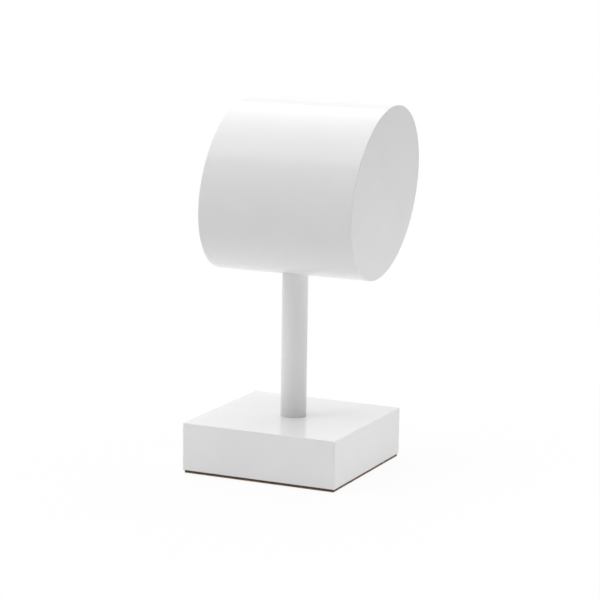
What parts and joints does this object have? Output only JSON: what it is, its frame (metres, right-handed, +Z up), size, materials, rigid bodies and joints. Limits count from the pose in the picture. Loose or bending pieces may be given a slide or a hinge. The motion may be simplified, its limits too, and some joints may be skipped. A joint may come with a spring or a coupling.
{
  "type": "watch display stand",
  "caption": "White counter stand for a watch or bracelet: a tilted oval drum turns on a round post above a weighted square block base.",
  "frame": {"origin": "middle of the pad's underside, where the stand rests, on the post's axis", "axes": "+Z up along the post, +X along the drum and the block's front edge, +Y to the back"},
  "size_m": [0.06, 0.0734, 0.1325],
  "materials": {
    "white_lacquered_mdf": "satin white lacquer on fibreboard",
    "white_lacquered_steel": "satin white lacquer",
    "brown_leatherette": "fine grain, matt",
    "mill_steel": "as rolled",
    "zinc_plated_steel": "bright zinc plate",
    "spring_steel": "phosphated",
    "beech": "raw, fine sawn"
  },
  "bodies": {
    "stand": {"base_pad": "brown_leatherette", "base_block": "white_lacquered_mdf", "ballast_plate": "mill_steel", "ballast_screws": "zinc_plated_steel", "post_screw": "zinc_plated_steel", "post_tube": "white_lacquered_steel", "post_lower_plug": "zinc_plated_steel", "post_upper_plug": "zinc_plated_steel", "head_screw": "zinc_plated_steel", "flat_washer": "zinc_plated_steel", "disc_spring": "spring_steel"},
    "head": {"head_shell": "white_lacquered_mdf", "head_cap_left": "white_lacquered_mdf", "head_cap_right": "white_lacquered_mdf", "head_block": "beech"}
  },
  "joints": [
    {"name": "head_turn", "type": "hinge", "parent": "stand", "child": "head", "pos_m": [0, 0, 0.0833], "axis": [0, 0, 1], "continuous": true}
  ]
}
